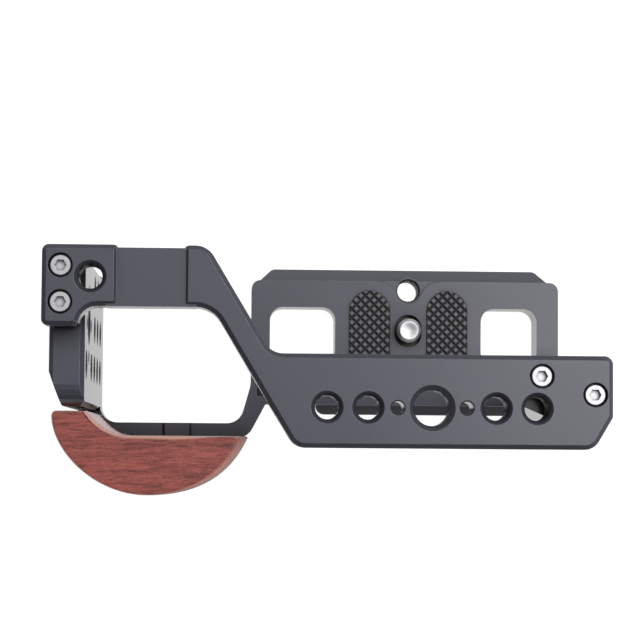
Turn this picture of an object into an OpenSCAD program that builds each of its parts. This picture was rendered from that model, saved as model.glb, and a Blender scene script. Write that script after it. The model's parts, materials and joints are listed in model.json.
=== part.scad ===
// Camera cage for a compact mirrorless body.
// A zig-zag top frame, a drilled side plate and a right pillar stand on a dovetail
// base plate, whose loop leaves the battery door free and carries a wooden grip.
// X runs to the left hand of the person holding the camera, Y runs to the rear, Z up.
// The origin lies on the camera screw's axis, in the plane that the camera sits on.
// All lengths are in millimetres.

/* [Camera bay] */
// Height between the seat plane and the underside of the top frame
bay_h = 67.5; // [62:0.5:90]
// Distance from the camera screw to the inner face of the side plate
bay_left = 82.3; // [80:0.1:92]
// Distance from the camera screw to the right end of the base plate
base_right = 40.5; // [40:0.1:52]

/* [Top frame] */
// Thickness of the top frame
frame_t = 10; // [9:0.5:14]
// Width of the bevel along the upper edges
bevel = 1.1; // [0.5:0.1:1.1]
// Front edge of the top plate, forward of the camera screw
plate_front = 31.75; // [31:0.05:34]
// Depth of the top plate from front to rear
plate_depth = 22.15; // [21:0.05:24]
// Distance from the camera screw to the right end of the top plate
plate_right = 42.8; // [42.6:0.1:50]
// Depth of the arm and of the bridge from front to rear
arm_w = 14.45; // [12:0.05:15]
// Rear edge of the arm, behind the camera screw
arm_rear = 15.6; // [14.5:0.05:17]
// Angle of the diagonal from the X axis
diagonal_angle = 59; // [56:0.5:62]
// Width of the diagonal, square to its edges
diagonal_w = 6.45; // [5.5:0.05:8]
// Distance that the left edge of the diagonal passes left of the camera screw
diagonal_left = 51.3; // [50:0.1:53]
// Width of the block over the side plate
block_w = 18; // [17:0.1:21]
// Overhang of the block past the outer face of the side plate
block_over = 1.2; // [0.5:0.1:2]
// Front edge of the block's leg, forward of the camera screw
leg_front = 3.6; // [3:0.1:8]
// Length of the bridge between the block and the arm
bridge_len = 15.3; // [10:0.1:17]
// Depth that the bridge lies below the top face
bridge_drop = 0.6; // [0.2:0.1:1.2]

/* [Threads and bores] */
// Major diameter of a 1/4 inch camera thread
quarter_d = 6.35; // [6.3:0.01:6.45]
// Major diameter of a 3/8 inch camera thread
three_eighths_d = 9.525; // [9.4:0.005:9.7]
// Chamfer at the mouth of a camera thread
thread_chamfer = 0.7; // [0.3:0.05:0.9]
// Pitch of the 1/4 inch holes along the top plate
top_pitch = 9.65; // [9:0.05:10.5]
// Distance from the 3/8 inch hole to the nearest 1/4 inch hole
top_inner = 15.1; // [14.5:0.1:16]
// Distance from the 3/8 inch hole to each of its locating holes
locating_r = 8.15; // [7.8:0.05:8.4]
// Diameter of a locating hole
locating_d = 3.1; // [2.5:0.1:3.4]
// Line of the holes along the top plate, forward of the camera screw
top_hole_line = 22.2; // [21:0.1:23]
// Pitch of the side plate's holes from front to rear
side_pitch_y = 10.2; // [9.5:0.1:11]
// Pitch of the side plate's holes from bottom to top
side_pitch_z = 12.4; // [12:0.1:12.6]

/* [Side plate] */
// Thickness of the side plate
side_t = 8.5; // [8:0.1:10]
// Front face of the side plate, forward of the camera screw
side_front = 22.1; // [21:0.1:24]
// Depth of the side plate from front to rear
side_depth = 36.5; // [35:0.1:39]
// Chamfer along the side plate's edges
side_chamfer = 1.1; // [0.4:0.1:1.4]

/* [Base plate] */
// Thickness of the base plate
base_t = 11; // [10.5:0.5:14]
// Distance from the camera screw to the left edge of the base plate
base_left = 42.1; // [41.5:0.1:44]
// Depth of the base plate's top from front to rear
base_depth = 33.3; // [32:0.1:34.5]
// Front edge of the base plate's top, forward of the camera screw
base_front = 19.9; // [19.5:0.1:20.5]
// Step of the dovetail's rear edge behind the seat
rear_flange = 3.6; // [2:0.1:4]
// Width of the quick-release dovetail across its edges
dovetail_w = 39.4; // [39:0.1:39.6]
// Height of the dovetail's vertical edge
dovetail_edge = 2; // [1.5:0.1:2.5]
// Height of the step between the raised seat and its rear ledge
seat_step = 0.4; // [0.2:0.1:0.8]
// Width of each window in the base plate
window_w = 15.1; // [12:0.1:15.3]
// Depth of each window from front to rear
window_depth = 15.2; // [12:0.1:15.6]

/* [Loop] */
// Width of the bar that goes round the battery door
bar_w = 3.9; // [3.2:0.1:4.5]
// Inner edge of the bar, forward of the camera screw
bar_inner = 25.1; // [25:0.1:27]
// Height of the boss on the bar
boss_h = 0.7; // [0.3:0.1:1]

/* [Camera screw] */
// Height of the screw's tip above the seat plane
tip_h = 4.5; // [4:0.1:5]
// Travel of the screw along its slot, to each side of the axis
slot_travel = 0.8; // [0.3:0.1:1.2]
// Drop of the screw until its thread meets the washer that keeps it in
screw_drop = 4.75; // [4:0.05:4.75]
// Diameter of the screw's head
knob_d = 11; // [10:0.1:11]

/* [Pads] */
// Width of each rubber pad
pad_w = 10.8; // [9:0.1:11.2]
// Length of each rubber pad
pad_len = 24.2; // [20:0.1:26]
// Height of the pads above the seat plane
pad_proud = 0.6; // [0.2:0.1:1]
// Pitch of the pads' knurl, square to its grooves
knurl_pitch = 1.69; // [1.5:0.01:2.4]
// Width of the flat tops between the grooves
knurl_top = 0.83; // [0.5:0.01:1]

/* [Wooden grip] */
// Height of the grip's top above the seat plane
grip_top = 61; // [50:0.5:64]
// Depth of the grip from the bar to its front
grip_depth = 14.4; // [12:0.1:18]

/* [Fasteners] */
// Diameter of the small screws
m3_d = 3; // [2.9:0.05:3.1]
// Head diameter of the small screws
m3_head_d = 5.2; // [5:0.1:5.2]
// Diameter of the pillar's foot screw
m4_d = 4; // [3.9:0.05:4.1]
// Head diameter of the pillar's foot screw
m4_head_d = 7; // [6.6:0.1:7.2]

/* [Hidden] */
$fn = 48;

// Clearances and small allowances
thread_gap = 0.05;   // round a screw in its own thread
shank_gap = 0.2;     // round a screw in a through hole
head_gap = 0.25;     // round a screw head in its counterbore
seat_gap = 0.05;     // under a washer or a head that turns
pad_gap = 0.1;       // round a pad in its pocket
grip_gap = 0.15;     // between the grip and the bar
cut = 0.5;           // that a cutter runs past a face
arc_steps = 6;

// Planes of the frame
foot_t = 6;
top_under = bay_h;
top_face = bay_h + frame_t;
base_under = -base_t;
side_bottom = base_under + foot_t;
base_rear = base_depth - base_front;
side_rear = side_depth - side_front;
side_out = -(bay_left + side_t);
plate_rear = plate_depth - plate_front;
arm_front = arm_rear - arm_w;

// Chamfer at the mouth of a locating hole
pin_chamfer = 0.3;

// Block and bridge
block_left = side_out - block_over;
block_right = block_left + block_w;
arm_left = block_right + bridge_len;
leg_right = -bay_left - side_chamfer;
leg_chamfer = 1;
scoop_r = 4.6;
block_r = 1.6;       // round the block's outer corners
joint_r = 0.6;       // where the bridge meets the block and the arm, at the front
rear_joint_r = 1.3;  // and at the rear

// Front right corner of the top plate, cut off over this width and depth
corner_w = 4.5;
corner_depth = 7.7;

// Slanted front left face of the side plate and of its foot
wedge_w = 3;
wedge_depth = 8.1;

// Rows and columns of the side plate's holes
side_column = -side_front + 10;
side_columns = [side_column, side_column + side_pitch_y, side_column + 2 * side_pitch_y];
side_row = 2.5;
side_big_z = bay_h - 17;
side_high_z = bay_h - 8;

// Screw places
block_screw_x = -(bay_left + 5.3);
block_screw_y = [arm_rear - 13.6, arm_rear - 5];
pillar_inner = [top_inner + top_pitch + 1.1, plate_rear - 4.9];
pillar_outer = [plate_right - 4.3, plate_rear - 9.2];
foot_screw_x = -(bay_left + side_t / 2);
foot_screw_y = [-side_front + 8.1, side_rear - 6.4];
pillar_foot = [base_right - 4.3, -base_front + 4.5];
pillar_pin = [base_right - 6.1, -base_front + 8.3];
boss_x = 0.5 - (bay_left + base_left) / 2;
boss_w = 7.8;
grip_screw_pitch = 19;
grip_screw_x = [boss_x - grip_screw_pitch / 2, boss_x + grip_screw_pitch / 2];
grip_screw_z = -base_t / 2;

// Fastener proportions
m3_head_h = 3;
m3_len = 12;
m3_short = 6;
m3_sunk = 0.35;
m3_bore_depth = m3_head_h + m3_sunk;
m4_head_h = 4;
m4_len = 16;
m4_sunk = 0.4;
csk_head_h = 1.65;
csk_len = bar_w + 6.1;
insert_d = 4.6;
insert_len = 7;
pin_d = 2;
pin_len = 8;

// Camera screw stack, from the web in the base plate's slot
web_top = -5;
web_under = -6;
neck_d = 4.8;
retainer_t = 0.6;
thrust_t = 0.8;
knob_h = 3.8;
knob_notches = 24;
coin_slot_w = 1.4;
coin_slot_depth = 1.8;
thread_under = web_top + retainer_t + screw_drop + seat_gap;
knob_top = web_under - thrust_t - 2 * seat_gap;
slot_w = quarter_d + 0.85;
slot_len = slot_w + 2 * slot_travel;
knob_gap = 0.6;

// ---- outlines ----

function unit(v) = v / norm(v);
function left_of(v) = [-v[1], v[0]];
function corner(list, i) = list[(i + len(list)) % len(list)];
function place(c) = [c[0], c[1]];

// Corner i of a counter-clockwise outline after every edge has moved inwards by inset
function moved_corner(list, i, inset) =
    let (p = place(corner(list, i)),
         before = left_of(unit(p - place(corner(list, i - 1)))),
         after = left_of(unit(place(corner(list, i + 1)) - p)))
    p + (before + after) * inset / (1 + before * after);

// The arc of radius r that rounds corner p between its neighbours a and b
function rounded_corner(a, p, b, r) =
    let (u = unit(a - p), v = unit(b - p),
         half = acos(u * v) / 2,
         centre = p + unit(u + v) * r / sin(half),
         start = p + u * r / tan(half) - centre,
         finish = p + v * r / tan(half) - centre,
         from = atan2(start[1], start[0]),
         turn = (atan2(finish[1], finish[0]) - from + 540) % 360 - 180)
    [for (k = [0:arc_steps])
        centre + r * [cos(from + turn * k / arc_steps), sin(from + turn * k / arc_steps)]];

// Points of an outline given as [x, y, radius], with every edge moved inwards by inset
function outline(list, inset = 0) =
    [for (i = [0:len(list) - 1])
        let (a = moved_corner(list, i - 1, inset),
             p = moved_corner(list, i, inset),
             b = moved_corner(list, i + 1, inset),
             convex = cross(p - a, b - p) > 0,
             wanted = list[i][2] + (convex ? -inset : inset))
        each list[i][2] == 0 ? [p] : rounded_corner(a, p, b, max(wanted, 0.05))];

// Triangles that cover an outline, found by cutting off one corner after another
function holds(a, b, c, p) =
    cross(b - a, p - a) >= 0 && cross(c - b, p - b) >= 0 && cross(a - c, p - c) >= 0;
function is_ear(points, ring, i) =
    let (n = len(ring), j = ring[(i + n - 1) % n], k = ring[i], m = ring[(i + 1) % n],
         a = points[j], b = points[k], c = points[m])
    cross(b - a, c - b) > 0
        && len([for (q = ring) if (q != j && q != k && q != m && holds(a, b, c, points[q])) q]) == 0;
function first_ear(points, ring, i = 0) =
    i == len(ring) - 1 || is_ear(points, ring, i) ? i : first_ear(points, ring, i + 1);
function cap(points, ring) =
    len(ring) < 4 ? [ring] :
    let (n = len(ring), i = first_ear(points, ring))
    concat([[ring[(i + n - 1) % n], ring[i], ring[(i + 1) % n]]],
        cap(points, [for (k = [0:n - 1]) if (k != i) ring[k]]));

// A solid through closed outlines of equal length, each at its own height
module stack(layers, heights) {
    n = len(layers[0]);
    top = len(layers) - 1;
    ring = [for (i = [0:n - 1]) i];
    polyhedron(
        points = [for (k = [0:top]) for (p = layers[k]) [p[0], p[1], heights[k]]],
        faces = concat(
            cap(layers[0], ring),
            [for (t = cap(layers[top], ring)) [for (k = [2, 1, 0]) top * n + t[k]]],
            [for (k = [0:top - 1]) for (i = [0:n - 1])
                let (j = (i + 1) % n)
                [k * n + i, (k + 1) * n + i, (k + 1) * n + j, k * n + j]]),
        convexity = 10);
}

// A plate with rounded corners, bevelled along its upper and lower edges
module bevelled_plate(list, bottom, top, upper, lower) {
    stack([outline(list, lower), outline(list), outline(list), outline(list, upper)],
        [bottom, bottom + lower, top - upper, top]);
}

module flat_plate(list, bottom, top) {
    translate([0, 0, bottom]) linear_extrude(top - bottom) polygon(outline(list));
}

// A profile drawn in Y and Z, carried along X
module along_x(from, to) {
    translate([from, 0, 0]) rotate([90, 0, 90]) linear_extrude(to - from) children();
}

// A profile drawn in X and Z, carried along Y
module along_y(from, to) {
    translate([0, to, 0]) rotate([90, 0, 0]) linear_extrude(to - from) children();
}

// ---- holes and fasteners ----

// Cutter for a through hole from z = 0 down to -depth, chamfered at both mouths
module through_hole(d, depth, chamfer) {
    translate([0, 0, -depth - cut]) cylinder(d = d, h = depth + 2 * cut);
    translate([0, 0, -chamfer]) cylinder(d1 = d, d2 = d + 2 * chamfer + 2 * cut, h = chamfer + cut);
    translate([0, 0, -depth - cut])
        cylinder(d1 = d + 2 * chamfer + 2 * cut, d2 = d, h = chamfer + cut);
}

// Cutter for a blind hole from z = 0 down, with a slight chamfer at its mouth
module blind_hole(d, depth, chamfer = 0.3) {
    translate([0, 0, -depth]) cylinder(d = d, h = depth + cut);
    translate([0, 0, -chamfer]) cylinder(d1 = d, d2 = d + 2 * chamfer + 2 * cut, h = chamfer + cut);
}

// Cutter for a sunk screw head and its shank, from z = 0 down
module counterbore(head_d, head_depth, shank_d, depth) {
    mouth = head_d + 2 * head_gap;
    translate([0, 0, -head_depth]) cylinder(d = mouth, h = head_depth + cut);
    translate([0, 0, -0.15]) cylinder(d1 = mouth, d2 = mouth + 0.3 + 2 * cut, h = 0.15 + cut);
    translate([0, 0, -depth - cut]) cylinder(d = shank_d + 2 * shank_gap, h = depth + cut);
}

// Socket head screw, its head's underside at z = 0 and its shank pointing down
module cap_screw(d, head_d, head_h, length, key) {
    edge = head_d * 0.06;
    difference() {
        rotate_extrude()
            polygon([[0, -length], [d / 2 - 0.3, -length], [d / 2, -length + 0.3], [d / 2, 0],
                [head_d / 2, 0], [head_d / 2, head_h - edge], [head_d / 2 - edge, head_h], [0, head_h]]);
        translate([0, 0, head_h * 0.45]) cylinder(d = key / cos(30), h = head_h, $fn = 6);
    }
}

module m3_screw(length = m3_len) {
    color("silver") cap_screw(m3_d, m3_head_d, m3_head_h, length, 2.5);
}

module m4_screw() {
    color("silver") cap_screw(m4_d, m4_head_d, m4_head_h, m4_len, 3);
}

// Stadium outline centred on the origin, its length along Y
module obround(width, length) {
    run = length - width;
    for (s = [-1, 1]) translate([0, s * run / 2]) circle(d = width);
    square([width, run], center = true);
}

// ---- top frame ----

block_outline = [
    [block_left, -leg_front, block_r], [leg_right - leg_chamfer, -leg_front, 0],
    [leg_right, -leg_front + leg_chamfer, 0], [leg_right + 0.4, arm_front, scoop_r],
    [block_right, arm_front, joint_r], [block_right, arm_rear, rear_joint_r],
    [block_left, arm_rear, block_r]];

// Point at which an edge of the diagonal, offset squarely by shift, crosses the line at y
function on_diagonal(shift, y) =
    [-diagonal_left + shift / sin(diagonal_angle) - y / tan(diagonal_angle), y];

bend_r = 5;
front_bend_r = 7;
zigzag_outline = [
    [arm_left, arm_front, joint_r],
    [each on_diagonal(0, arm_front), front_bend_r],
    [each on_diagonal(0, -plate_front), bend_r - 0.6],
    [plate_right - corner_w, -plate_front, 4],
    [plate_right, -plate_front + corner_depth, 1],
    [plate_right, plate_rear, 2],
    [each on_diagonal(diagonal_w, plate_rear), bend_r],
    [each on_diagonal(diagonal_w, arm_rear), bend_r],
    [arm_left, arm_rear, rear_joint_r]];

top_quarter_x = [
    -top_inner - top_pitch, -top_inner, top_inner, top_inner + top_pitch];
block_hole = [-(bay_left - 1.7), 8];

// The bridge runs this far into the block and the arm, and its faces are off theirs by these steps
bridge_lap = 3;
bridge_step = 0.1;
bridge_rear_step = 0.6;

module top_frame_body() {
    bevelled_plate(block_outline, top_under, top_face, bevel, 0.4);
    bevelled_plate(zigzag_outline, top_under, top_face, bevel, 0.4);
    translate([block_right - bridge_lap, arm_front - bridge_step, top_under + 0.2])
        cube([bridge_len + 2 * bridge_lap, arm_w - bridge_rear_step, frame_t - bridge_drop - 0.2]);
}

module top_frame() {
    color("dimgray") difference() {
        top_frame_body();
        for (x = top_quarter_x)
            translate([x, -top_hole_line, top_face]) through_hole(quarter_d, frame_t, thread_chamfer);
        translate([0, -top_hole_line, top_face])
            through_hole(three_eighths_d, frame_t, thread_chamfer);
        for (s = [-1, 1])
            translate([s * locating_r, -top_hole_line, top_face])
                through_hole(locating_d, frame_t, pin_chamfer);
        translate([each block_hole, top_face]) through_hole(quarter_d, frame_t, thread_chamfer);
        for (y = block_screw_y)
            translate([block_screw_x, y, top_face])
                counterbore(m3_head_d, m3_bore_depth, m3_d, frame_t);
        for (p = [pillar_inner, pillar_outer])
            translate([each p, top_face]) counterbore(m3_head_d, m3_bore_depth, m3_d, frame_t);
    }
}

// ---- side plate ----

side_plan = [
    [side_out, -side_front + wedge_depth, 0], [side_out + wedge_w, -side_front, 0],
    [-bay_left - side_chamfer, -side_front, 0], [-bay_left, -side_front + side_chamfer, 0],
    [-bay_left, side_rear - side_chamfer, 0], [-bay_left - side_chamfer, side_rear, 0],
    [side_out + side_chamfer, side_rear, 0], [side_out, side_rear - side_chamfer, 0]];

module side_plate() {
    color("dimgray") difference() {
        intersection() {
            flat_plate(side_plan, side_bottom, top_under);
            along_x(side_out - 1, -bay_left + 1)
                polygon(outline([[-side_front, side_bottom, 0], [side_rear, side_bottom, 0],
                    [side_rear, top_under, 0], [-side_front, top_under, 5]]));
            along_y(-side_front - 1, side_rear + 1)
                polygon([[side_out, side_bottom], [-bay_left, side_bottom],
                    [-bay_left, top_under - side_chamfer],
                    [-bay_left - side_chamfer, top_under], [side_out + side_chamfer, top_under],
                    [side_out, top_under - side_chamfer]]);
        }
        for (y = side_columns) for (k = [0:2]) side_hole(y, side_row + k * side_pitch_z, quarter_d);
        side_hole(side_columns[0], side_row + 3 * side_pitch_z, quarter_d);
        side_hole(side_columns[0], side_high_z, quarter_d);
        side_hole(side_columns[1], side_big_z, three_eighths_d);
        for (s = [-1, 1]) {
            side_pin_hole(side_columns[1] + s * locating_r, side_big_z);
            side_pin_hole(side_columns[1], side_big_z + s * locating_r);
        }
        for (y = block_screw_y)
            translate([block_screw_x, y, top_under]) blind_hole(m3_d + 2 * thread_gap, 8);
        for (y = foot_screw_y)
            translate([foot_screw_x, y, side_bottom]) mirror([0, 0, 1])
                blind_hole(m3_d + 2 * thread_gap, m3_short - foot_t + m3_bore_depth + 0.4);
    }
}

module side_hole(y, z, d) {
    translate([-bay_left, y, z]) rotate([0, 90, 0]) through_hole(d, side_t, thread_chamfer * 0.7);
}

module side_pin_hole(y, z) {
    translate([-bay_left, y, z]) rotate([0, 90, 0]) through_hole(locating_d, side_t, pin_chamfer);
}

// ---- base plate ----

dovetail_rear = base_rear + rear_flange;
dovetail_front = dovetail_rear - dovetail_w;
front_flange = -base_front - dovetail_front;
step_left = -24.5;              // left end of the dovetail's front edge
step_right = base_right - 4.5;  // and its right end
step_rear_in = 2;               // that the rear edge stays short of the base plate's ends
step_round = 0.95;              // of the front edge's step goes into its rounded ends
base_r = 2.4;
base_plan = [
    [-base_left, -base_front, 0], [step_left, -base_front, 0],
    [step_left, dovetail_front, step_round * front_flange],
    [step_right, dovetail_front, step_round * front_flange],
    [step_right, -base_front, 0], [base_right, -base_front, 1.5],
    [base_right, base_rear, base_r], [base_right - step_rear_in, base_rear, 0],
    [base_right - step_rear_in - rear_flange, dovetail_rear, 2],
    [-base_left + step_rear_in + rear_flange, dovetail_rear, 2],
    [-base_left + step_rear_in, base_rear, 0], [-base_left, base_rear, base_r]];

// Section through the dovetail: straight sides, 45 degree slopes and a short vertical edge
module dovetail_section() {
    slope_low = base_under + dovetail_edge;
    polygon([
        [dovetail_front, base_under], [dovetail_rear, base_under],
        [dovetail_rear, slope_low], [base_rear, slope_low + rear_flange],
        [base_rear, 0], [-base_front, 0],
        [-base_front, slope_low + front_flange], [dovetail_front, slope_low]]);
}

// The bar's outline: forward along the base's left edge, across, and back to the foot.
// It runs into the base plate and into the foot by root_lap.
bar_outer = bar_inner + bar_w;
root_lap = 4;
inner_bend_r = 4.5;
neck_rear_r = 8;
end_cut = 5.2;  // at the root of the bar, where it leaves the base plate
bend_len = 10.9;  // length of the bar's curved left end, along the bar
bar_bend = [for (k = [0:9]) bezier([-bay_left + 0.3, -side_front - 1],
    [-bay_left + 1.4, -side_front - 2.4], [-bay_left + 5.1, -bar_outer],
    [-bay_left + bend_len, -bar_outer], k / 9)];
loop_outline = [
    [-base_left + 1.5 * root_lap, -base_front + root_lap, 0],
    [-base_left, -base_front + 2 * root_lap, 0],
    [-base_left, -base_front + end_cut, neck_rear_r], [-base_left - 2.9, -bar_inner, inner_bend_r],
    [-bay_left, -bar_inner, inner_bend_r], [-bay_left, -side_front + root_lap, 0],
    [side_out + wedge_w, -side_front + root_lap, 0], [side_out + wedge_w, -side_front - 0.4, 0],
    for (p = bar_bend) [each p, 0],
    [-base_left - 0.8, -bar_outer, inner_bend_r], [-base_left + root_lap, -base_front, 0]];

foot_plan = [
    [side_out, -side_front + wedge_depth, 0], [side_out + wedge_w, -side_front, 0],
    [-bay_left, -side_front, 0], [-bay_left, side_rear, 1], [side_out, side_rear, 1]];

window_rear = base_rear - 7.2;
window_left = -base_left + 5;
window_right = base_right - 5.8;
window_extra = 2.4;  // that the left window is wider by
window_r = 3.5;
pad_x = pad_w - 0.4;
pad_rear = base_rear - 2.65;
pad_y = pad_rear - pad_len / 2;
tail_hole_y = base_rear - 2.5;
pocket_depth = 1;

// Pocket for a key or a tag at the root of the loop
tag_pocket = [6, 3.4, 4];
tag_pocket_place = [-base_left + 1.6, -base_front + 2.1];

module window(from, to) {
    window_front = window_rear - window_depth;
    flat_plate([[from, window_front, window_r], [to, window_front, window_r],
        [to, window_rear, window_r], [from, window_rear, window_r]], base_under - cut, cut);
}

// The ledge round the tail hole: a round notch that blends into the rear edge
module ledge() {
    notch_r = 3.6;
    blend_r = 5;
    blend_y = base_rear - 0.3 - blend_r;
    blend_x = sqrt(pow(notch_r + blend_r, 2) - pow(blend_y - tail_hole_y, 2));
    translate([0, 0, -seat_step]) linear_extrude(seat_step + cut) {
        translate([0, tail_hole_y]) circle(r = notch_r);
        difference() {
            polygon([[-blend_x, base_rear + 1], [-blend_x, blend_y], [0, tail_hole_y],
                [blend_x, blend_y], [blend_x, base_rear + 1]]);
            for (s = [-1, 1]) translate([s * blend_x, blend_y]) circle(r = blend_r);
        }
    }
}

// Cutter for a countersunk grip screw and its shank, from z = 0 down through the bar
module countersink() {
    shank = m3_d + 2 * shank_gap;
    mouth = m3_head_d + 2 * (shank_gap + 0.2);
    deep = csk_head_h + 0.1;
    translate([0, 0, -bar_w - 1]) cylinder(d = shank, h = bar_w + 1 + cut);
    translate([0, 0, -deep]) cylinder(d1 = shank, d2 = mouth, h = deep);
    cylinder(d = mouth, h = cut);
}

module screw_slot() {
    translate([0, 0, web_top]) linear_extrude(-web_top + cut) obround(slot_w, slot_len);
    translate([0, 0, web_under - cut]) linear_extrude(web_top - web_under + 2 * cut)
        obround(neck_d + 0.5, neck_d + 0.5 + 2 * slot_travel);
    translate([0, 0, base_under - cut]) linear_extrude(web_under - base_under + cut)
        obround(knob_d + 2 * knob_gap, knob_d + 2 * knob_gap + 2 * slot_travel);
}

module base_plate() {
    color("dimgray") difference() {
        union() {
            intersection() {
                flat_plate(base_plan, base_under, 0);
                along_x(-base_left - 1, base_right + 1) dovetail_section();
            }
            flat_plate(loop_outline, base_under, 0);
            flat_plate(foot_plan, base_under, side_bottom);
            along_y(-bar_outer, -bar_inner) translate([boss_x, 0])
                polygon([[-boss_w / 2, -1], [boss_w / 2, -1], [boss_w / 2, 0],
                    [boss_w / 2 - boss_h, boss_h], [boss_h - boss_w / 2, boss_h],
                    [-boss_w / 2, 0]]);
        }
        translate([side_out - 1, -side_front - seat_gap, side_bottom])
            cube([side_t + 1 + seat_gap, side_depth + 2, base_t]);
        window(window_left, window_left + window_w + window_extra);
        window(window_right - window_w, window_right);
        translate([0, tail_hole_y, 0]) through_hole(quarter_d, base_t, pin_chamfer);
        ledge();
        screw_slot();
        for (s = [-1, 1])
            translate([s * pad_x, pad_y, -pocket_depth]) linear_extrude(pocket_depth + cut)
                obround(pad_w + 2 * pad_gap, pad_len + 2 * pad_gap);
        translate([each tag_pocket_place, -tag_pocket[2]]) cube(tag_pocket + [0, 0, cut]);
        for (y = foot_screw_y)
            translate([foot_screw_x, y, base_under]) mirror([0, 0, 1])
                counterbore(m3_head_d, m3_bore_depth, m3_d, base_t);
        translate([each pillar_foot, base_under]) mirror([0, 0, 1])
            counterbore(m4_head_d, m4_head_h + m4_sunk, m4_d, base_t);
        translate([each pillar_pin, 0]) blind_hole(pin_d + 2 * thread_gap, pin_len / 2 + 0.2, 0.2);
        for (x = grip_screw_x) translate([x, -bar_inner, grip_screw_z]) rotate([-90, 0, 0])
            countersink();
    }
}

// ---- right pillar ----

pillar_left = base_right - 8.9;
pillar_rear = -base_front + 9.9;
pillar_wide = plate_right - 1;
pillar_lean = bay_h - 22.5;     // height at which the column has reached its full lean
head_rise = 28.5;               // height of the head's inner edge
head_t = 8;                     // thickness of the head behind its wall
head_wall = 6.5;                // thickness of the slanted wall in front of it
head_corner = 2.6;              // width cut off the head's front right corner
head_setback = 7.75;            // from the top plate's front to that corner's rear end
head_r = 1;
waist_r = 6;                    // where the column widens into the head
lean_r = 8;                     // where its front face bends
head_front_left = [pillar_left - 9.6, plate_rear - 11.6];
head_slope = -0.43;
head_bottom = top_under - head_rise;

function head_edge(x, back) =
    [x, head_front_left[1] + head_slope * (x - head_front_left[0]) + back];

head_plan = [
    [each head_front_left, head_r], [each head_edge(pillar_wide - head_corner, 0), head_r],
    [pillar_wide, -plate_front + head_setback, head_r], [pillar_wide, plate_rear - 1.6, head_r],
    [head_front_left[0], plate_rear - 1.6, head_r]];

module right_pillar() {
    color("dimgray") difference() {
        union() {
            flat_plate(head_plan, top_under - head_t, top_under);
            intersection() {
                pillar_plan();
                pillar_front_profile();
                pillar_side_profile();
            }
        }
        for (p = [pillar_inner, pillar_outer])
            translate([each p, top_under]) blind_hole(m3_d + 2 * thread_gap, head_t - 1);
        translate([each pillar_foot, 0]) mirror([0, 0, 1])
            blind_hole(m4_d + 2 * thread_gap, m4_len - base_t + m4_head_h + m4_sunk + 2);
        translate([each pillar_pin, 0]) mirror([0, 0, 1])
            blind_hole(pin_d + 2 * thread_gap, pin_len / 2 + 0.2, 0.2);
    }
}

// Plan of the column and of the wall behind the head's slanted front
module pillar_plan() {
    flat_plate([
        [each head_front_left, head_r], [each head_edge(pillar_wide - head_corner, 0), head_r],
        [pillar_wide, -plate_front + head_setback, head_r], [pillar_wide, pillar_rear, head_r],
        [pillar_left, pillar_rear, head_r], [each head_edge(pillar_left, head_wall), 0],
        [each head_edge(head_front_left[0], head_wall), head_r]],
        0, top_under);
}

// Seen from the front: the column, and the head that curves out of it
module pillar_front_profile() {
    along_y(-plate_front - 1, plate_rear)
        polygon(outline([
            [pillar_left, 0, 0], [base_right, 0, 0], [base_right, pillar_lean * 2 / 3, waist_r],
            [pillar_wide, pillar_lean, waist_r], [pillar_wide, top_under, 0],
            [head_front_left[0], top_under, 0], [head_front_left[0], head_bottom, 2],
            [pillar_left, head_bottom - 1.5 * waist_r, 2 * waist_r]]));
}

// Seen from the side: the front face leans forwards on its way up
module pillar_side_profile() {
    along_x(0, pillar_wide + 1)
        polygon(outline([
            [-base_front, 0, 0], [0, 0, 0], [0, top_under, 0], [-plate_front + 1, top_under, 0],
            [-plate_front + 1, pillar_lean, lean_r], [-base_front, 6, lean_r]]));
}

// ---- wooden grip ----

grip_left = side_out + 0.3;
grip_back = -(bar_outer + grip_gap);
grip_rear = -(side_front + 1.1);
grip_right = -base_left - 1.1;
grip_front = -(bar_outer + grip_depth);
grip_tip_r = 1.2;   // round the grip's left tip, in plan
grip_end_r = 3.7;   // round the top of the grip's right end
grip_front_r = 1.2; // round its front edges

function bezier(a, b, c, d, t) =
    a * pow(1 - t, 3) + 3 * b * pow(1 - t, 2) * t + 3 * c * (1 - t) * t * t + d * t * t * t;

// Front of the grip in plan, from its left corner round to its right tip
grip_deep_x = (grip_left + grip_right) / 2 - 0.65;
grip_curve = concat(
    [for (k = [1:11]) bezier([grip_left, grip_rear - grip_tip_r], [grip_left + 0.2, grip_rear - 9.9],
        [grip_deep_x - 12.2, grip_front], [grip_deep_x, grip_front], k / 12)],
    [for (k = [0:12]) bezier([grip_deep_x, grip_front], [grip_deep_x + 8.1, grip_front],
        [grip_right - 5.4, grip_front + 1.9], [grip_right, grip_back], k / 12)]);

// Back of the grip: along the bar and its bend, and round the left tip
grip_rest = concat(
    [for (k = [len(bar_bend) - 1:-1:0]) bar_bend[k] - [grip_gap, grip_gap]],
    rounded_corner([-bay_left, grip_rear], [grip_left, grip_rear], [grip_left, grip_front],
        grip_tip_r));
grip_plan = concat(grip_curve, grip_rest);

module wood_grip() {
    bottom = base_under + 0.3;
    color("sienna") difference() {
        intersection() {
            translate([0, 0, bottom]) linear_extrude(grip_top - bottom) polygon(grip_plan);
            along_y(grip_front - 1, grip_rear + 1)
                polygon(outline([[grip_left - 1, bottom, 0], [grip_right, bottom, grip_end_r / 2],
                    [grip_right, grip_top, grip_end_r], [grip_left - 1, grip_top, 0]]));
            along_x(grip_left - 1, grip_right + 1)
                polygon(outline([[grip_front, bottom, grip_front_r], [grip_rear + 1, bottom, 0],
                    [grip_rear + 1, grip_top, 0], [grip_front, grip_top, grip_front_r]]));
        }
        for (x = grip_screw_x) translate([x, grip_back, grip_screw_z]) rotate([-90, 0, 0])
            blind_hole(insert_d + 2 * thread_gap, insert_len + 1, 0.1);
    }
}

// ---- pads ----

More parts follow.
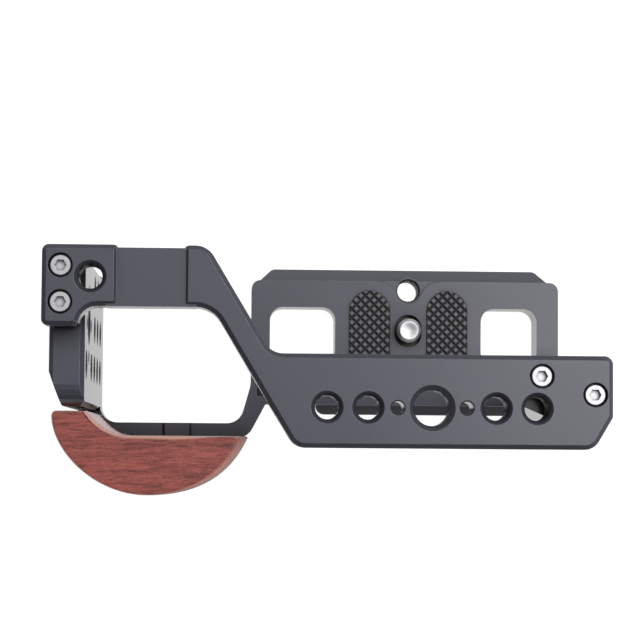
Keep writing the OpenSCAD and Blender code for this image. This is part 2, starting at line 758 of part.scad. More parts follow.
module pad() {
    color([0.12, 0.12, 0.13]) difference() {
        translate([0, pad_y, -pocket_depth]) linear_extrude(pocket_depth + pad_proud)
            obround(pad_w, pad_len);
        translate([0, pad_y, pad_proud]) {
            rotate(-45) grooves(0.36 * knurl_pitch);
            rotate(45) grooves(0.4 * knurl_pitch);
        }
    }
}

// Cutters for one set of V grooves in a pad, which reach down to the given depth
module grooves(depth) {
    half = (knurl_pitch - knurl_top) / 2;
    reach = floor((pad_len + pad_w) * 0.36 / knurl_pitch);
    for (k = [-reach:reach])
        translate([k * knurl_pitch, 0, 0]) rotate([90, 0, 0])
            linear_extrude(2 * pad_len, center = true)
                polygon([[-half, 0.01], [0, -depth], [half, 0.01]]);
}

module pad_left() {
    translate([-pad_x, 0, 0]) pad();
}

module pad_right() {
    translate([pad_x, 0, 0]) pad();
}

// ---- camera screw ----

module camera_screw() {
    color("silver") difference() {
        rotate_extrude()
            polygon([[0, knob_top - knob_h], [knob_d / 2 - 0.5, knob_top - knob_h],
                [knob_d / 2, knob_top - knob_h + 0.5], [knob_d / 2, knob_top - 0.4],
                [knob_d / 2 - 0.4, knob_top], [neck_d / 2, knob_top], [neck_d / 2, thread_under],
                [quarter_d / 2 - 0.3, thread_under], [quarter_d / 2, thread_under + 0.3],
                [quarter_d / 2, tip_h - 0.7], [quarter_d / 2 - 0.7, tip_h], [0, tip_h]]);
        translate([-knob_d, -coin_slot_w / 2, knob_top - knob_h - cut])
            cube([2 * knob_d, coin_slot_w, coin_slot_depth + cut]);
        for (k = [1:knob_notches])
            rotate(k * 360 / knob_notches) translate([knob_d / 2 + 0.25, 0, knob_top - knob_h - 1])
                cylinder(r = 0.6, h = knob_h + 2, $fn = 4);
    }
}

module ring(outer, inner, bottom, thick) {
    translate([0, 0, bottom]) difference() {
        cylinder(d = outer, h = thick);
        translate([0, 0, -cut]) cylinder(d = inner, h = thick + 2 * cut);
    }
}

module thrust_washer() {
    color("gainsboro") ring(knob_d - 1, neck_d + 0.2, knob_top + seat_gap, thrust_t);
}

module retaining_washer() {
    color([0.2, 0.2, 0.2]) ring(slot_w - 0.3, neck_d + 0.2, web_top, retainer_t);
}

// ---- fasteners in place ----

module block_screw(y) {
    translate([block_screw_x, y, top_face - m3_bore_depth]) m3_screw();
}

module pillar_screw(p) {
    translate([each p, top_face - m3_bore_depth]) m3_screw();
}

module side_foot_screw(y) {
    translate([foot_screw_x, y, base_under + m3_bore_depth]) mirror([0, 0, 1]) m3_screw(m3_short);
}

module pillar_foot_screw() {
    translate([each pillar_foot, base_under + m4_head_h + m4_sunk]) mirror([0, 0, 1]) m4_screw();
}

module pillar_dowel() {
    color("silver") translate([each pillar_pin, -pin_len / 2]) rotate_extrude()
        polygon([[0, 0], [pin_d / 2 - 0.25, 0], [pin_d / 2, 0.25], [pin_d / 2, pin_len - 0.25],
            [pin_d / 2 - 0.25, pin_len], [0, pin_len]]);
}

// Countersunk screw through the bar, its head towards the battery door
module grip_screw(x) {
    color("silver") translate([x, -bar_inner, grip_screw_z]) rotate([-90, 0, 0]) difference() {
        rotate_extrude()
            polygon([[0, -csk_len], [m3_d / 2, -csk_len], [m3_d / 2, -csk_head_h],
                [m3_head_d / 2, -0.25], [m3_head_d / 2, -0.05], [0, -0.05]]);
        translate([0, 0, -1.1]) cylinder(d = 2 / cos(30), h = 2, $fn = 6);
    }
}

module grip_insert(x) {
    color("goldenrod") translate([x, grip_back - 0.2, grip_screw_z]) rotate([90, 0, 0])
        ring(insert_d, m3_d + 2 * thread_gap, 0, insert_len);
}

top_frame();
side_plate();
base_plate();
right_pillar();
wood_grip();
pad_left();
pad_right();
camera_screw();
thrust_washer();
retaining_washer();
block_screw(block_screw_y[1]);  // block_screw_rear
block_screw(block_screw_y[0]);  // block_screw_front
pillar_screw(pillar_inner);  // pillar_screw_inner
pillar_screw(pillar_outer);  // pillar_screw_outer
side_foot_screw(foot_screw_y[1]);  // side_foot_screw_rear
side_foot_screw(foot_screw_y[0]);  // side_foot_screw_front
pillar_foot_screw();
pillar_dowel();
grip_screw(grip_screw_x[0]);  // grip_screw_left
grip_screw(grip_screw_x[1]);  // grip_screw_right
grip_insert(grip_screw_x[0]);  // grip_insert_left
grip_insert(grip_screw_x[1]);  // grip_insert_right
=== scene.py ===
import json
import math
import bpy
import numpy as np
from mathutils import Matrix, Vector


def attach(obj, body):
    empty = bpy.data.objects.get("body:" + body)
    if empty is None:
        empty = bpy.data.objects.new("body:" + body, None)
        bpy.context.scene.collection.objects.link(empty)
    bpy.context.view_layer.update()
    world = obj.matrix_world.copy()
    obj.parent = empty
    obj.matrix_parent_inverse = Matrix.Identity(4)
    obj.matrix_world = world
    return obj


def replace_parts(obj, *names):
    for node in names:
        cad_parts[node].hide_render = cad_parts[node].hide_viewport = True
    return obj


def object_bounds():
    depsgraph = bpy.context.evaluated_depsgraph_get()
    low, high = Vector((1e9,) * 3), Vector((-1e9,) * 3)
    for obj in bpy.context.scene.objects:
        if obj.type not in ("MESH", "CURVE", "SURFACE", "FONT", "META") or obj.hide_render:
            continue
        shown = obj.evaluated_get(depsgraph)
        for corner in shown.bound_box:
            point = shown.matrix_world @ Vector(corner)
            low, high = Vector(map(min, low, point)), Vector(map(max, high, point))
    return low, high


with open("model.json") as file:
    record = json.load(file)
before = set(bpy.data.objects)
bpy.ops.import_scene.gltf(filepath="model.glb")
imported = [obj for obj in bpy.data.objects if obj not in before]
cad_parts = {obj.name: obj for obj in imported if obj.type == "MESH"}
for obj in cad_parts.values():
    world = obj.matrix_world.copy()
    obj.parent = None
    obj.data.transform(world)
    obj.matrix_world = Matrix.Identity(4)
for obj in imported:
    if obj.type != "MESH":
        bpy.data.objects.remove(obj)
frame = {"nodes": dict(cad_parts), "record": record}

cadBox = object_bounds()
nodes = frame["nodes"]
mm = 0.001
print("stage: frame loaded,", len(nodes), "nodes")


# sRGB hex to the linear values that shader sockets take
def linearHex(text):
    channels = [int(text[i:i + 2], 16) / 255 for i in (1, 3, 5)]
    linear = [c / 12.92 if c <= 0.04045 else ((c + 0.055) / 1.055) ** 2.4 for c in channels]
    return (*linear, 1.0)


# Adds one node, sets its properties, and fills or links its inputs; a node as a value stands for its first
# output that is in use
def addNode(tree, kind, inputs=None, **settings):
    node = tree.nodes.new(kind)
    for key, value in settings.items():
        setattr(node, key, value)
    for socket, value in (inputs or {}).items():
        if isinstance(value, bpy.types.Node):
            value = next(output for output in value.outputs if output.enabled)
        if isinstance(value, bpy.types.NodeSocket):
            tree.links.new(value, node.inputs[socket])
        else:
            node.inputs[socket].default_value = value
    return node


def newMaterial(name):
    material = bpy.data.materials.new(name)
    material.use_nodes = True
    material.node_tree.nodes.clear()
    return material, material.node_tree


# A new ramp has two elements, and every further stop adds one
def setRamp(node, stops):
    elements = node.color_ramp.elements
    for i, (position, colour) in enumerate(stops):
        element = elements[i] if i < 2 else elements.new(position)
        element.position = position
        element.color = colour


# The camera that took the photo: its lens and place, and its axes in the part's frame
cameraPlace = {
    "lensMm": 130.26,
    "sensorMm": 36,
    "clipM": (0.01, 20),
    "standMm": (-47.085, -33.472, 620.138),
    "right": (0.99924281, 0.00769534, 0.03813894),
    "down": (0.00990075, -0.99826873, -0.05797853),
    "forward": (0.03762674, 0.05831223, -0.99758905),
}


def makeCamera(place):
    data = bpy.data.cameras.new("photoCamera")
    data.sensor_fit = "HORIZONTAL"
    data.sensor_width = place["sensorMm"]
    data.lens = place["lensMm"]
    data.clip_start, data.clip_end = place["clipM"]
    camera = bpy.data.objects.new("photoCamera", data)
    columns = [place["right"], [-v for v in place["down"]], [-v for v in place["forward"]]]
    turn = Matrix(columns).transposed().to_4x4()
    turn.translation = [v * mm for v in place["standMm"]]
    camera.matrix_world = turn
    bpy.context.scene.collection.objects.link(camera)
    bpy.context.scene.camera = camera


makeCamera(cameraPlace)
print("stage: camera placed")

black = (0, 0, 0, 1)
white = (1, 1, 1, 1)


# Share of light that gets past a point's near surroundings, from 0 in a groove to 1 in the open; the
# materials darken their colour by it, a painted shade
def occlusionForPaintedShade(tree, reachMm, power):
    shade = addNode(tree, "ShaderNodeAmbientOcclusion", {"Distance": reachMm * mm}, samples=6)
    return addNode(tree, "ShaderNodeMath", {0: shade.outputs["AO"], 1: power}, operation="POWER")


def objectNoise(tree, sizeMm, stretch=(1, 1, 1), **more):
    place = addNode(tree, "ShaderNodeTexCoord")
    along = addNode(tree, "ShaderNodeMapping", {"Vector": place.outputs["Object"], "Scale": stretch})
    return addNode(tree, "ShaderNodeTexNoise", {"Vector": along, "Scale": 1 / (sizeMm * mm), **more})


# The ranges in these dictionaries say how a noise or a mask is mapped; most of a noise lies from 0.3 to 0.7
aluminiumLook = {
    "colour": "#5f616d",         # grey anodising with a slight violet cast
    "darker": "#565863",
    "driftMm": 22,               # over which the two greys change places
    "edgeWearAndHighlight": "#9c9c9f",           # painted highlight along the broken edges, partly standing for wear
    "edgeMm": 0.16,              # reach of the broken edges
    "edgeRange": {"From Min": 0.995, "From Max": 0.93, "To Max": 0.9},
    "metallic": 0.1,
    "film": 0.35,                # share of the clear sealed film, which brightens slanting views
    "filmRoughness": 0.2,
    "gritMm": 0.16,              # bead-blast grain; the real 0.05 mm is too fine to show
    "gritDepthMm": 0.02,
    "gritStrength": 0.25,
    "roughRange": {"From Min": 0.3, "From Max": 0.7, "To Min": 0.28, "To Max": 0.4},
    "shadeMm": 7.0,              # reach of the painted shade, a darker colour in corners, chamfers and grooves
    "shadePower": 2.4,
}


# Anodised aluminium, bead-blasted: dull with a very fine sparkle, with painted shade darkening its corners,
# and a painted highlight along its edges, partly standing for wear, where the rounded normal turns away from
# the true one
def anodisedAluminium(look):
    material, tree = newMaterial("anodisedAluminiumBeadBlasted")
    grit = objectNoise(tree, look["gritMm"], Detail=3.0, Roughness=0.6)
    drift = objectNoise(tree, look["driftMm"], Detail=2.0)
    greys = {"Factor": drift, "A": linearHex(look["darker"]), "B": linearHex(look["colour"])}
    tint = addNode(tree, "ShaderNodeMix", greys, data_type="RGBA")
    edge = addNode(tree, "ShaderNodeBevel", {"Radius": look["edgeMm"] * mm}, samples=6)
    true = addNode(tree, "ShaderNodeNewGeometry")
    normals = {0: edge, 1: true.outputs["Normal"]}
    along = addNode(tree, "ShaderNodeVectorMath", normals, operation="DOT_PRODUCT")
    onEdge = addNode(tree, "ShaderNodeMapRange", {"Value": along.outputs["Value"], **look["edgeRange"]})
    # Painted highlight along the edges, partly standing for wear: paler where the rounded normal leaves the
    # true one
    paintedEdgeHighlight = {"Factor": onEdge, "A": tint, "B": linearHex(look["edgeWearAndHighlight"])}
    tint = addNode(tree, "ShaderNodeMix", paintedEdgeHighlight, data_type="RGBA")
    # Painted shade: the colour is mixed towards black where little light gets past the surroundings
    shaded = {"Factor": occlusionForPaintedShade(tree, look["shadeMm"], look["shadePower"]), "A": black, "B": tint}
    heights = {"Height": grit, "Normal": edge, "Strength": look["gritStrength"]}
    heights["Distance"] = look["gritDepthMm"] * mm
    shader = addNode(tree, "ShaderNodeBsdfPrincipled", {
        "Base Color": addNode(tree, "ShaderNodeMix", shaded, data_type="RGBA"),
        "Roughness": addNode(tree, "ShaderNodeMapRange", {"Value": grit, **look["roughRange"]}),
        "Metallic": look["metallic"],
        "Normal": addNode(tree, "ShaderNodeBump", heights),
        "Coat Weight": look["film"],
        "Coat Roughness": look["filmRoughness"],
    })
    addNode(tree, "ShaderNodeOutputMaterial", {"Surface": shader})
    return material


steelLook = {
    "colour": "#d8d7da",
    "metallic": 0.9,
    "turningMm": 0.12,           # spacing of the fine turning marks
    "turningDepthMm": 0.02,
    "turningStrength": 0.2,
    "roughRange": {"From Min": 0.3, "From Max": 0.7, "To Min": 0.34, "To Max": 0.5},
    "edgeMm": 0.12,
    "shadeMm": 0.8,
}


# Turned stainless steel: bright, with fine marks that break up its reflections, and painted shade in its
# hollows
def turnedSteel(look):
    material, tree = newMaterial("turnedStainlessSteel")
    grain = objectNoise(tree, look["turningMm"], Detail=2.0)
    edge = addNode(tree, "ShaderNodeBevel", {"Radius": look["edgeMm"] * mm}, samples=4)
    # Painted shade: the colour is mixed towards black where little light gets past the surroundings
    shaded = {"Factor": occlusionForPaintedShade(tree, look["shadeMm"], 1.0), "A": black, "B": linearHex(look["colour"])}
    heights = {"Height": grain, "Normal": edge, "Strength": look["turningStrength"]}
    heights["Distance"] = look["turningDepthMm"] * mm
    shader = addNode(tree, "ShaderNodeBsdfPrincipled", {
        "Base Color": addNode(tree, "ShaderNodeMix", shaded, data_type="RGBA"),
        "Roughness": addNode(tree, "ShaderNodeMapRange", {"Value": grain, **look["roughRange"]}),
        "Metallic": look["metallic"],
        "Normal": addNode(tree, "ShaderNodeBump", heights),
    })
    addNode(tree, "ShaderNodeOutputMaterial", {"Surface": shader})
    return material


rubberLook = {
    "raised": "#7d7c80",         # tops of the knurl, paler as a painted highlight
    "low": "#232326",            # its grooves, dark as painted shade
    "roughness": 0.55,
    "sheen": 0.1,
    "grainMm": 0.2,
    "grainDepthMm": 0.03,
    "grainStrength": 0.3,
    "shadeMm": 0.9,
    "shadePower": 2.2,
}


# Moulded rubber: matt, with a painted highlight on its raised points and painted shade in its grooves
def mouldedRubber(look):
    material, tree = newMaterial("mouldedRubber")
    grain = objectNoise(tree, look["grainMm"], Detail=3.0)
    # Painted shade and highlight: the dark colour where little light gets in, the pale one where the knurl is
    # open
    shade = occlusionForPaintedShade(tree, look["shadeMm"], look["shadePower"])
    tint = {"Factor": shade, "A": linearHex(look["low"]), "B": linearHex(look["raised"])}
    heights = {"Height": grain, "Strength": look["grainStrength"], "Distance": look["grainDepthMm"] * mm}
    shader = addNode(tree, "ShaderNodeBsdfPrincipled", {
        "Base Color": addNode(tree, "ShaderNodeMix", tint, data_type="RGBA"),
        "Roughness": look["roughness"],
        "Normal": addNode(tree, "ShaderNodeBump", heights),
        "Sheen Weight": look["sheen"],
    })
    addNode(tree, "ShaderNodeOutputMaterial", {"Surface": shader})
    return material


acetalLook = {
    "name": "blackAcetal",
    "darker": "#1e1e21",
    "paler": "#29292c",
    "grainMm": 0.6,
    "metallic": 0.0,
    "roughRange": {"From Min": 0.3, "From Max": 0.7, "To Min": 0.36, "To Max": 0.46},
}
brassLook = {
    "name": "turnedBrass",
    "darker": "#c4a257",
    "paler": "#d8b86e",
    "grainMm": 0.12,
    "metallic": 1.0,
    "roughRange": {"From Min": 0.3, "From Max": 0.7, "To Min": 0.22, "To Max": 0.34},
}


# Black acetal is smooth and slightly waxy with a faint mottle, and turned brass is warm and bright with fine
# marks: one grain sets the colour and the roughness of either
def plainGrained(look):
    material, tree = newMaterial(look["name"])
    grain = objectNoise(tree, look["grainMm"], Detail=2.0)
    tint = {"Factor": grain, "A": linearHex(look["darker"]), "B": linearHex(look["paler"])}
    shader = addNode(tree, "ShaderNodeBsdfPrincipled", {
        "Base Color": addNode(tree, "ShaderNodeMix", tint, data_type="RGBA"),
        "Roughness": addNode(tree, "ShaderNodeMapRange", {"Value": grain, **look["roughRange"]}),
        "Metallic": look["metallic"],
    })
    addNode(tree, "ShaderNodeOutputMaterial", {"Surface": shader})
    return material


woodLook = {
    "light": "#d66f63",
    "middle": "#b2554b",
    "dark": "#642f2b",
    "stops": (0.38, 0.47, 0.62),     # where dark, middle and light stand on the figure
    "bandMm": 1.2,                   # width of the figure's bands
    "wanderMm": 6.0,
    "wanderShare": 0.35,
    "poreMm": 0.22,                  # width of the pores; their length is ten times this
    "poreDepthMm": 0.05,
    "poreStrength": 0.25,
    "poreRange": {"From Min": 0.54, "From Max": 0.64, "To Max": 0.6},
    "fleck": "#c98478",              # where pores are filled with wax
    "fleckMm": 0.35,
    "fleckRange": {"From Min": 0.57, "From Max": 0.68, "To Max": 0.45},
    # painted highlight on the rounded edges
    "paintedEdgeHighlight": "#ffc8b9",
    "paintedEdgeHighlightRange": {"From Min": 0.02, "From Max": 0.24, "To Max": 0.85},
    "roughness": 0.45,
    "oil": 0.35,                     # share of the oil's own gloss
    "oilRoughness": 0.18,
}


# Oiled rosewood: red-brown with dark streaks, and short pores and pale flecks that run along the grain. It
# has a painted highlight where its edges are rounded: by up^2 (1 - up^2), most where the surface slants at 45
# degrees
def oiledRosewood(look):
    material, tree = newMaterial("oiledRosewood")
    wander = objectNoise(tree, look["wanderMm"], stretch=(0.12, 1, 1), Detail=3.0, Distortion=0.6)
    bands = {"Detail": 5.0, "Roughness": 0.65, "Distortion": 0.8}
    bands = objectNoise(tree, look["bandMm"], stretch=(0.1, 1, 1), **bands)
    both = {"Factor": look["wanderShare"], "A": bands, "B": wander}
    figure = addNode(tree, "ShaderNodeMix", both, data_type="FLOAT")
    ramp = addNode(tree, "ShaderNodeValToRGB", {"Fac": figure})
    colours = [linearHex(look[key]) for key in ("dark", "middle", "light")]
    setRamp(ramp, zip(look["stops"], colours))
    pores = objectNoise(tree, look["poreMm"], stretch=(0.1, 1, 1), Detail=2.0)
    flecks = objectNoise(tree, look["fleckMm"], stretch=(0.5, 1, 1), Detail=2.0)
    normal = addNode(tree, "ShaderNodeNewGeometry").outputs["Normal"]
    up = addNode(tree, "ShaderNodeSeparateXYZ", {0: normal}).outputs["Z"]
    slant = addNode(tree, "ShaderNodeMath", {0: up, 1: up}, operation="MULTIPLY")
    flank = addNode(tree, "ShaderNodeMath", {0: 1.0, 1: slant}, operation="SUBTRACT")
    paintedHighlightMask = addNode(tree, "ShaderNodeMath", {0: slant, 1: flank}, operation="MULTIPLY")
    tint = ramp
    # Dark pores, pale wax flecks, and last the painted highlight on the rounded edges
    for value, limits, colour in (
        (pores, "poreRange", "dark"),
        (flecks, "fleckRange", "fleck"),
        (paintedHighlightMask, "paintedEdgeHighlightRange", "paintedEdgeHighlight"),
    ):
        share = addNode(tree, "ShaderNodeMapRange", {"Value": value, **look[limits]})
        over = {"Factor": share, "A": tint, "B": linearHex(look[colour])}
        tint = addNode(tree, "ShaderNodeMix", over, data_type="RGBA")
    heights = {"Height": pores, "Strength": look["poreStrength"], "Distance": look["poreDepthMm"] * mm}
    shader = addNode(tree, "ShaderNodeBsdfPrincipled", {
        "Base Color": tint,
        "Roughness": look["roughness"],
        "Normal": addNode(tree, "ShaderNodeBump", heights),
        "Coat Weight": look["oil"],
        "Coat Roughness": look["oilRoughness"],
    })
    addNode(tree, "ShaderNodeOutputMaterial", {"Surface": shader})
    return material


finishes = {
    "anodised_aluminium": anodisedAluminium(aluminiumLook),
    "steel": turnedSteel(steelLook),
    "black_rubber": mouldedRubber(rubberLook),
    "black_plastic": plainGrained(acetalLook),
    "brass": plainGrained(brassLook),
    "oiled_wood": oiledRosewood(woodLook),
}

for part in frame["record"]["subparts"]:
    mesh = nodes[part["node"]].data
    mesh.materials.clear()
    mesh.materials.append(finishes[part["material_slot"]])
print("stage: CAD nodes finished")


# Quads of a grid whose points are numbered row by row; either way round may close on itself
def gridQuads(rows, columns, closedRows=False, closedColumns=False):
    i = np.arange(rows if closedRows else rows - 1)[:, None]
    j = np.arange(columns if closedColumns else columns - 1)[None, :]
    nextI = (i + 1) % rows
    nextJ = (j + 1) % columns
    corners = [i * columns + j, i * columns + nextJ, nextI * columns + nextJ, nextI * columns + j]
    return np.stack(corners, axis=-1).reshape(-1, 4).tolist()


# Puts points in millimetres and faces into one object on a body, sharp where its faces turn by more than
# sharpDegrees
def makePiece(name, points, faces, body, slot, sharpDegrees):
    mesh = bpy.data.meshes.new(name)
    mesh.from_pydata((np.asarray(points, float).reshape(-1, 3) * mm).tolist(), [], faces)
    mesh.polygons.foreach_set("use_smooth", np.ones(len(mesh.polygons), dtype=bool))
    mesh.set_sharp_from_angle(angle=math.radians(sharpDegrees))
    mesh.update()
    piece = bpy.data.objects.new(name, mesh)
    bpy.context.scene.collection.objects.link(piece)
    mesh.materials.append(finishes[slot])
    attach(piece, body)
    return piece


tappedHoles = {
    "quarter": {"radiusMm": 3.175, "pitchMm": 1.27, "depthMm": 0.36},
    "threeEighths": {"radiusMm": 4.7625, "pitchMm": 1.5875, "depthMm": 0.55},
    "sleeveMm": 0.3,             # of the sleeve's wall that lies inside the metal
    "around": 72,
    "rowsPerTurn": 8,
    "runOutMm": 0.5,             # over which the ridge grows at each mouth
    "sharpDegrees": 50,
}


# Height of a thread's ridge, 0 at the root and 1 at the crest: with t = |2 frac(turns) - 1|,
# (t - 1/8) / (5/8) held between 0 and 1, so that the crest is flat and the flanks are straight
def threadRidge(turns):
    t = np.abs(2 * (turns % 1) - 1)
    return np.clip((t - 0.125) / 0.625, 0, 1)


# Angles of the points round an axis
def anglesAround(count):
    return np.arange(count)[None, :] * 2 * np.pi / count


# Points at a radius, an angle and a height, row by row
def turnedPoints(radius, a, z):
    return np.stack([radius * np.cos(a), radius * np.sin(a), np.broadcast_to(z, radius.shape)], axis=-1)


# Inside of a tapped hole along its own z: radius(a, z) = R - depth * ridge(z / pitch - a / 2 pi),
# closed outside by a plain tube that the metal hides
def tappedSleeve(kind, bottom, top):
    hole = tappedHoles[kind]
    rows = int((top - bottom) / hole["pitchMm"] * tappedHoles["rowsPerTurn"]) + 1
    z = np.linspace(top, bottom, rows)[:, None]
    a = anglesAround(tappedHoles["around"])
    grow = np.clip(np.minimum(top - z, z - bottom) / tappedHoles["runOutMm"], 0, 1)
    radius = hole["radiusMm"] - hole["depthMm"] * grow * threadRidge(z / hole["pitchMm"] - a / (2 * np.pi))
    outside = np.full_like(a, hole["radiusMm"] + tappedHoles["sleeveMm"])
    radius = np.concatenate([radius, outside, outside])
    z = np.concatenate([z, [[bottom], [top]]])
    faces = gridQuads(rows + 2, tappedHoles["around"], closedRows=True, closedColumns=True)
    return turnedPoints(radius, a, z), faces


# Many sleeves as one piece; each stands at a place, its own z along the plate's axis
def tappedPiece(name, sleeves, axis):
    points = []
    faces = []
    count = 0
    for kind, place, bottom, top in sleeves:
        sleevePoints, sleeveFaces = tappedSleeve(kind, bottom, top)
        if axis == "x":
            sleevePoints = sleevePoints[..., [2, 0, 1]]
        points.append((sleevePoints + np.array(place)).reshape(-1, 3))
        faces += [[corner + count for corner in face] for face in sleeveFaces]
        count += len(points[-1])
    makePiece(name, np.concatenate(points), faces, "cage", "anodised_aluminium", tappedHoles["sharpDegrees"])


# From where to where a plate's sleeves go, between its chamfers
def sleeveSpan(plate):
    return plate["faceMm"] - plate["thicknessMm"] + plate["chamferMm"], plate["faceMm"] - plate["chamferMm"]


topThreads = {
    "faceMm": 77.5,
    "thicknessMm": 10.0,
    "chamferMm": 0.7,
    "lineMm": -22.2,             # y of the row of holes
    "quarterMm": (-24.75, -15.1, 15.1, 24.75),
    "blockMm": (-80.6, 8.0),
}

topSpan = sleeveSpan(topThreads)
topLine = topThreads["lineMm"]
topPlaces = [(x, topLine, 0) for x in topThreads["quarterMm"]] + [(*topThreads["blockMm"], 0)]
topSleeves = [("quarter", place, *topSpan) for place in topPlaces]
topSleeves.append(("threeEighths", (0, topLine, 0), *topSpan))
tappedPiece("topThreads", topSleeves, "z")

sideThreads = {
    "faceMm": -82.3,             # x of the inner face
    "thicknessMm": 8.5,
    "chamferMm": 0.49,
    "columnsMm": (-12.1, -1.9, 8.3),
    "rowsMm": (2.5, 14.9, 27.3),
    "frontColumnMm": (39.7, 59.5),
    "bigMm": (-1.9, 50.5),
}

sideSpan = sleeveSpan(sideThreads)
sidePlaces = [(0, y, z) for y in sideThreads["columnsMm"] for z in sideThreads["rowsMm"]]
sidePlaces += [(0, sideThreads["columnsMm"][0], z) for z in sideThreads["frontColumnMm"]]
sideSleeves = [("quarter", place, *sideSpan) for place in sidePlaces]
sideSleeves.append(("threeEighths", (0, *sideThreads["bigMm"]), *sideSpan))
tappedPiece("sideThreads", sideSleeves, "x")

tailThread = {
    "placeMm": (0.0, 10.9, 0.0),
    "spanMm": (-10.7, -0.7),
}

tappedPiece("tailThread", [("quarter", tailThread["placeMm"], *tailThread["spanMm"])], "z")
print("stage: threads cut")

# The runs of the grip's outline from above, counter-clockwise from its left tip, as x and y in millimetres: a
# straight run has two points, and a curve has four. Wall and border have as many points in each run
grip = {
    "topMm": 61.0,
    "bottomMm": -10.7,
    "bottomEdgeMm": 0.5,
    "edgeSteps": 8,
    "wallRowsMm": (-8.7, 57.0),
    "wallRowCount": 20,
    "topMiddleMm": (-66.85, -34.05, 61.0),
    "topRingShare": 0.04,        # of the way to that middle, where one more ring holds the top flat
    "sharpDegrees": 40,
    "runCounts": {
        "frontLeft": 44,
        "frontRight": 44,
        "rightTip": 5,
        "back": 40,
        "bend": 24,
        "rear": 8,
        "leftTip": 7,
    },
    "wallMm": {
        "frontLeft": ((-90.5, -24.4), (-90.3, -33.1), (-79.7, -43.4), (-67.5, -43.4)),
        "frontRight": ((-67.5, -43.4), (-59.4, -43.4), (-48.6, -41.5), (-43.2, -29.45)),
        "rightTip": ((-43.2, -29.45), (-43.2, -29.2), (-43.35, -29.05), (-43.6, -29.05)),
        "back": ((-43.6, -29.05), (-71.6, -29.05)),
        "bend": ((-71.6, -29.05), (-77.3, -29.05), (-80.95, -24.55), (-82.2, -23.25)),
        "rear": ((-82.2, -23.2), (-89.3, -23.2)),
        "leftTip": ((-89.3, -23.2), (-90.0, -23.2), (-90.5, -23.7), (-90.5, -24.4)),
    },
    "borderMm": {
        "frontLeft": ((-90.1, -24.5), (-89.8, -32.9), (-79.5, -43.05), (-67.5, -43.1)),
        "frontRight": ((-67.5, -43.1), (-60.5, -43.1), (-50.8, -39.8), (-46.5, -29.95)),
        "rightTip": ((-46.5, -29.95), (-46.4, -29.45), (-46.6, -29.2), (-46.9, -29.2)),
        "back": ((-46.9, -29.2), (-71.6, -29.2)),
        "bend": ((-71.6, -30.15), (-76.5, -29.95), (-80.6, -27.1), (-83.1, -23.55)),
        "rear": ((-83.1, -23.55), (-89.2, -23.55)),
        "leftTip": ((-89.2, -23.55), (-89.7, -23.55), (-90.1, -23.9), (-90.1, -24.5)),
    },
    "widenMm": 0.95,             # by which the border leaves the back on its way to the bend
    "widenFromMm": -49.0,
    "widenOverMm": 14.0,
}


# Points of a run: along a straight line, or along the cubic curve from the first point to the last that the
# middle two pull on, the sum of the Bernstein terms
def runPoints(controls, count):
    t = np.linspace(0, 1, count)[:, None]
    if len(controls) == 2:
        weights = (1 - t, t)
    else:
        weights = ((1 - t) ** 3, 3 * t * (1 - t) ** 2, 3 * t ** 2 * (1 - t), t ** 3)
    return sum(weight * np.array(point) for weight, point in zip(weights, controls))


# One closed outline from its runs, each without its last point, which starts the next
def closedOutline(runs):
    return np.concatenate([run[:-1] for run in runs.values()])


# Wall and border of the flat top, point for point. They are 0.15 mm apart at the right end of the back, widen
# to 1.1 mm with a smooth step s^2 (3 - 2 s), and are about a millimetre apart along the bend, a third of one
# along the front, and three at the right tip
def gripOutlines(g):
    wall, border = (
        {name: runPoints(controls, g["runCounts"][name]) for name, controls in g[key].items()}
        for key in ("wallMm", "borderMm")
    )
    back = border["back"]
    share = np.clip((g["widenFromMm"] - back[:, 0]) / g["widenOverMm"], 0, 1)
    back[:, 1] -= g["widenMm"] * share * share * (3 - 2 * share)
    return closedOutline(wall), closedOutline(border)


# The grip as rings. Its upper edge is a quarter circle from wall to border: 1 - cos f of the way across and
# e (1 - sin f) below the top, where e is the distance across and f runs from 0 to 90 degrees. Its lower edge
# is the same at its own small radius
def makeGrip(g):
    wall, border = gripOutlines(g)
    count = len(wall)
    inward = border - wall
    across = np.linalg.norm(inward, axis=1, keepdims=True)
    f = np.linspace(0, np.pi / 2, g["edgeSteps"])

    def ring(share, height):
        return np.hstack([wall + inward * share, np.broadcast_to(height, (count, 1))])

    rings = []
    for angle in f[::-1]:
        inset = np.minimum(g["bottomEdgeMm"] * (1 - np.cos(angle)), across)
        rings.append(ring(inset / across, g["bottomMm"] + g["bottomEdgeMm"] * (1 - np.sin(angle))))
    for height in np.linspace(*g["wallRowsMm"], g["wallRowCount"]):
        rings.append(ring(0, height))
    for angle in f:
        rings.append(ring(1 - np.cos(angle), g["topMm"] - across * (1 - np.sin(angle))))
    rings.append(rings[-1] + (np.array(g["topMiddleMm"]) - rings[-1]) * g["topRingShare"])
    faces = gridQuads(len(rings), count, closedColumns=True)
    faces.append(list(range(count))[::-1])
    faces.append([(len(rings) - 1) * count + i for i in range(count)])
    return makePiece("woodGrip", np.concatenate(rings), faces, "cage", "oiled_wood", g["sharpDegrees"])


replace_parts(makeGrip(grip), "wood_grip")
print("stage: grip shaped")

